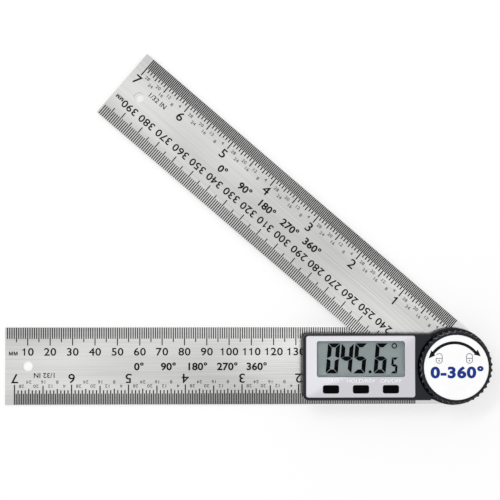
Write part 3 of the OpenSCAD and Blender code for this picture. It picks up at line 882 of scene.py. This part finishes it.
# %% [markdown]
# Most figures are the font's own. Its 1 is a bare bar and its M fills up when it is made heavier,
# so these two are drawn as outlines in a cell that is one unit tall.

# %% Words and figures along an edge
OUTLINES = {
    "1": [(-0.08, -0.5), (0.1, -0.5), (0.1, 0.5), (-0.04, 0.5), (-0.13, 0.37), (-0.3, 0.3),
          (-0.3, 0.17), (-0.08, 0.23)],
    "M": [(-0.5, -0.5), (-0.5, 0.5), (-0.25, 0.5), (0, -0.12), (0.25, 0.5), (0.5, 0.5),
          (0.5, -0.5), (0.3, -0.5), (0.3, 0.1), (0.09, -0.5), (-0.09, -0.5), (-0.3, 0.1),
          (-0.3, -0.5)],
}


def edge_word(bm, body, x, edge, inset, height, weight=0.016, stretch=1.15, spread=1.04):
    """A word whose top faces the rule's edge, inset from it to the middle of the figures."""
    turn = 0 if edge > 0 else math.pi
    write(bm, body, x, edge * (HALF_WIDTH - inset), height, turn, weight, stretch, spread)


def edge_figures(bm, body, x, edge, inset, height, pitch, weight=0.016):
    """Figures at an even pitch, with the drawn outlines where there are any."""
    for k, sign in enumerate(body):
        place = x + edge * (k - (len(body) - 1) / 2) * pitch
        if sign in OUTLINES:
            middle, size = edge * (HALF_WIDTH - inset), edge * height
            patch(bm, [(place + px * size, middle + py * size) for px, py in OUTLINES[sign]])
        else:
            edge_word(bm, sign, place, edge, inset, height, weight)


print("drawn outlines:", *OUTLINES)

# %% [markdown]
# Each kind of figure has its height and its inset, which is the way from the rule's edge to the
# middle of the figure. The two unit signs also have their way from the free end.

# %% Figures of a scale
MM_FIGURE, MM_INSET, MM_PITCH = 3.25, 10.9, 2.85
MM_SIGN, MM_SIGN_INSET, MM_SIGN_AT, MM_SIGN_PITCH = 1.75, 11.6, 3.6, 2.1
INCH_FIGURE, INCH_INSET, INCH_WEIGHT = 4.0, 11.7, 0.01
INCH_SIGN, INCH_SIGN_INSET, INCH_SIGN_AT = 2.1, 13.1, 17.4
PART_FIGURE, PART_INSET, QUARTER_INSET, PART_WEIGHT = 1.4, 8.3, 10.1, 0.012


def millimetre_figures(bm, edge, reach, at_end):
    """Figures every 10 mm, which grow from 0 or fall from 400 at the free end."""
    for d in range(10, LAST_LINE, 10):
        edge_figures(bm, str(abs(at_end - d)), d - reach, edge, MM_INSET, MM_FIGURE, MM_PITCH)
    edge_figures(bm, "MM", MM_SIGN_AT - reach, edge, MM_SIGN_INSET, MM_SIGN, MM_SIGN_PITCH)


def inch_figures(bm, edge, reach):
    """Figures of the whole inches, and the sign that names the smallest part."""
    for i in range(1, INCHES + 1):
        x = inch_place(i, reach)
        edge_figures(bm, str(i), x, edge, INCH_INSET, INCH_FIGURE, 0, INCH_WEIGHT)
    x = INCH_SIGN_AT - reach
    edge_word(bm, "1/32 IN", x, edge, INCH_SIGN_INSET, INCH_SIGN, stretch=1.0, spread=1.05)


def part_figures(bm, edge, reach):
    """Small figures that count thirty-seconds, those of the quarters one row further in."""
    for i in range(INCHES):
        for n in range(4, 32, 4):
            inset = PART_INSET if n % 8 else QUARTER_INSET
            x = inch_place(i + n / 32, reach)
            edge_word(bm, str(n), x, edge, inset, PART_FIGURE, PART_WEIGHT)


print("figures of", MM_FIGURE, INCH_FIGURE, "and", PART_FIGURE, "mm")

# %% [markdown]
# The marks are etched and filled with black, the smallest ones more thinly. A row of whole quarter
# turns along the middle of each rule tells that the tool measures angles.

# %% Etch both rules
etch_black = finish("etch_black", (16, 16, 17), 0.5, Specular_IOR_Level=0.06)
tint(etch_black, grain(etch_black, (1.5, 1.5, 1.5), detail=3), (9, 9, 10), (26, 26, 27))
etch_grey = finish("etch_grey", (64, 64, 65), 0.5, Specular_IOR_Level=0.06)
tint(etch_grey, grain(etch_grey, (1.5, 1.5, 1.5), detail=3), (52, 52, 53), (76, 76, 77))

QUARTER_TURNS = (0, 90, 180, 270, 360)
TURN_PITCH = 13.2
TURN_DROP = 0.3
TURN_FIGURE = 3.1
MIDDLE_LINE = 86
BASE_REACH = -corners("base_blade")[0].x
SWING_REACH = 195


def etch_rule(rule, body, top, turn, mm_edge, reach, at_end):
    """All marks of one rule, on the top of its body."""
    marks, parts = bmesh.new(), bmesh.new()
    millimetre_lines(marks, mm_edge, reach)
    inch_lines(marks, -mm_edge, reach)
    millimetre_figures(marks, mm_edge, reach, at_end)
    inch_figures(marks, -mm_edge, reach)
    part_figures(parts, -mm_edge, reach)
    for k, angle in enumerate(QUARTER_TURNS):
        x = MIDDLE_LINE - reach + TURN_PITCH * (k - 2)
        write(marks, f"{angle}°", x, -TURN_DROP, TURN_FIGURE, weight=0.03, stretch=1.1)
    print_marks(rule + "_scale", marks, top, etch_black, body, turn)
    print_marks(rule + "_small_figures", parts, top, etch_grey, body, turn)


etch_rule("base", "base", corners("base_blade")[1].z, 0.0, +1, BASE_REACH, 0)
etch_rule("swing", "swing_arm", corners("swing_blade")[1].z, -OPEN_ANGLE, -1, SWING_REACH, 400)

# %% [markdown]
# ## The display
# A liquid crystal shows bars with mitred ends, seven to a figure. One figure is up to seven small
# polygons in a cell. The cell is scaled, slanted and set down for each figure, so the big figures
# and the small last one share the same shape.

# %% Seven bars of a figure
BARS_OF = {"0": "abcdef", "4": "bcfg", "5": "acdfg", "6": "acdefg"}
SLANT = math.tan(math.radians(5))


def bar_outline(name, wide, tall, thick, gap):
    """Corner points of one bar in a cell that is wide by tall, with bars of a thickness."""
    w, h, t, g = wide / 2, tall / 2, thick, gap
    top = [(-w + g, h), (w - g, h), (w - t - g, h - t), (-w + t + g, h - t)]
    side = [(w, h - g), (w, g), (w - t * 0.45, g + 0.02 * tall), (w - t, t * 0.55),
            (w - t, h - t - g)]
    cross = [(-w + g * 2, 0), (-w + t, t * 0.5), (w - t, t * 0.5), (w - g * 2, 0),
             (w - t * 1.2, -t * 0.6), (-w + t * 1.2, -t * 0.6)]
    shapes = {
        "a": top, "d": [(x, -y) for x, y in top], "g": cross,
        "b": side, "f": [(-x, y) for x, y in side],
        "c": [(x, -y) for x, y in side], "e": [(-x, -y) for x, y in side],
    }
    return shapes[name]


def figure(bm, digit, x, y, wide, tall, thick):
    """One slanted figure of the display with its middle at x, y."""
    for name in BARS_OF[digit]:
        points = bar_outline(name, wide, tall, thick, 0.03 * wide)
        patch(bm, [(x + px + SLANT * py, y + py) for px, py in points])


print("bars of each figure:", BARS_OF)

# %% [markdown]
# The figures lie on the display's own glass, under the window, as the crystal's dark bars do. Their
# places are measured from the middle of the window.

# %% Reading on the display
lcd_high = corners("lcd_panel")[1]
window_mid = (window_low + window_high) / 2
lcd_ink = finish("lcd_ink", (12, 14, 14), 0.6, Specular_IOR_Level=0.02)
tint(lcd_ink, grain(lcd_ink, (6, 6, 6), detail=1), (9, 11, 11), (15, 17, 17))

BIG_FIGURE = (5.4, 13.3, 1.8)
SMALL_FIGURE = (2.9, 7.1, 1.05)
BIG_RISE = 0.25
SMALL_AT = (15.0, -2.9)
RING_AT, RING_RADIUS, RING_WIDTH = (15.0, 5.75), 0.98, 0.5
DOT_AT, DOT_RADIUS = (4.2, -5.7), 0.72

reading = bmesh.new()
FIGURE_X = {-12.25: "0", -6.2: "4", -0.15: "5", 8.95: "6"}
for x, digit in FIGURE_X.items():
    figure(reading, digit, window_mid.x + x, window_mid.y + BIG_RISE, *BIG_FIGURE)
figure(reading, "5", *(window_mid.xy + Vector(SMALL_AT)), *SMALL_FIGURE)
arc(reading, window_mid.xy + Vector(RING_AT), RING_RADIUS, RING_WIDTH, 0, 360)
dot = Matrix.Translation((*(window_mid.xy + Vector(DOT_AT)), 0))
bmesh.ops.create_circle(reading, cap_ends=True, radius=DOT_RADIUS, segments=20, matrix=dot)
print_marks("display_reading", reading, lcd_high.z, lcd_ink, "base")

# %% [markdown]
# ## Words by the keys
# Each key has its word above it, printed in white on the silver, so it shows only faintly.
# The keys' own places give the words theirs.

# %% Key words
key_white = finish("key_white", (238, 237, 241), 0.45, Specular_IOR_Level=0.2)
tint(key_white, grain(key_white, (0.8, 0.8, 0.8), detail=2), (234, 233, 237), (243, 242, 246))
WORD_RISE = 3.75
WORD_FIGURE = 1.6
KEY_WORDS = {"zero_button": "ZERO", "hold_button": "HOLD/REV", "power_button": "ON/OFF"}
key_words = bmesh.new()
for node, word in KEY_WORDS.items():
    low, high = corners(node)
    place = ((low.x + high.x) / 2, (low.y + high.y) / 2 + WORD_RISE)
    write(key_words, word, *place, WORD_FIGURE, weight=0.008, stretch=1.12)
print_marks("key_words", key_words, bezel_high.z, key_white, "base")

# %% [markdown]
# ## The knob's label
# The white disc shows which way locks: a double arrow, an open and a closed padlock, and the
# range of the tool in dark blue. The real disc is printed in one go. Here each ink is a piece.

# %% Inks of the label
sign_black = finish("sign_black", (14, 14, 15), 0.5, Specular_IOR_Level=0.1)
tint(sign_black, grain(sign_black, (2, 2, 2), detail=2), (10, 10, 11), (18, 18, 19))
sign_grey = finish("sign_grey", (150, 150, 152), 0.5, Specular_IOR_Level=0.1)
tint(sign_grey, grain(sign_grey, (2, 2, 2), detail=2), (144, 144, 146), (156, 156, 158))
sign_navy = finish("sign_navy", (24, 52, 134), 0.45, Specular_IOR_Level=0.1)
tint(sign_navy, grain(sign_navy, (2, 2, 2), detail=2), (20, 46, 126), (28, 58, 142))
print("inks:", sign_black.name, sign_grey.name, sign_navy.name)

# %% [markdown]
# The arrow's bow is a short edge spun about a centre, and its heads are single triangles.

# %% Arrow
ARROW_CENTRE = (-0.8, -1.2)
ARROW_RADIUS, ARROW_WIDTH = 12.1, 1.3
ARROW_START, ARROW_END = 40, 142
LEFT_HEAD = [(-12.3, 4.0), (-9.3, 5.3), (-11.1, 7.6)]
RIGHT_HEAD = [(10.8, 4.9), (9.5, 7.8), (7.7, 5.7)]
arrow = bmesh.new()
arc(arrow, ARROW_CENTRE, ARROW_RADIUS, ARROW_WIDTH, ARROW_START, ARROW_END)
patch(arrow, LEFT_HEAD)
patch(arrow, RIGHT_HEAD)
print_marks("label_arrow", arrow, label_high.z, sign_black, "knob")

# %% [markdown]
# A padlock is drawn with strokes of one width: a bar, two half rings and straight legs between
# them. The strokes meet and don't overlap, because faces in the same plane would flicker.

# %% Padlocks
locks = bmesh.new()
PADLOCK = 1.35
STROKE = 0.38
LEG = 0.8
KEYHOLE = 0.38
KEYHOLE_DROP = 1.0
OPEN_AT, CLOSED_AT = (-7.6, 4.0), (5.8, 4.0)


def padlock(bm, x, y, sweep, legs):
    """A small padlock: a round-bottomed body, a keyhole and a shackle that sweeps over it."""
    bar(bm, x, y, 2 * PADLOCK + STROKE, STROKE)
    arc(bm, (x, y - LEG), PADLOCK, STROKE, 180, 360)
    arc(bm, (x, y + LEG), PADLOCK, STROKE, 0, sweep)
    for side, way in legs:
        middle = y + way * (LEG + STROKE / 2) / 2
        bar(bm, x + side * PADLOCK, middle, STROKE, LEG - STROKE / 2)
    hole = Matrix.Translation((x, y - KEYHOLE_DROP, 0))
    bmesh.ops.create_circle(bm, cap_ends=True, radius=KEYHOLE, segments=12, matrix=hole)


BODY_LEGS = [(-1, -1), (1, -1)]
padlock(locks, *OPEN_AT, 150, BODY_LEGS + [(1, 1)])
padlock(locks, *CLOSED_AT, 180, BODY_LEGS + [(-1, 1), (1, 1)])
print_marks("label_padlocks", locks, label_high.z, sign_grey, "knob")

# %% [markdown]
# The range is the largest writing on the part, so its curves get more steps than the small figures.

# %% Range of the tool
RANGE_AT = (0.3, -2.2)
RANGE_FIGURE = 4.5
figures = bmesh.new()
write(
    figures, "0-360°", *RANGE_AT, RANGE_FIGURE,
    weight=0.045, stretch=1.2, spread=1.1, steps=10)
print_marks("label_figures", figures, label_high.z, sign_navy, "knob")

# %% [markdown]
# ## The battery tray
# The tray's front is a flush block in the side of the case, with a small nub for a finger nail.
# Its corners are rounded as the case's rims are.

# %% Tray with rounded front
TRAY_ROUND = 0.12
FRONT_DEPTH = 0.6
tray_low = corners("battery_tray")[0]
tray_bm = merged_copy("battery_tray")
soften(tray_bm, TRAY_ROUND, 2, lambda p: p.y < tray_low.y + FRONT_DEPTH)
tray_drawer = make_piece("tray_drawer", tray_bm, case_black, "tray")
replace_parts(tray_drawer, "battery_tray")
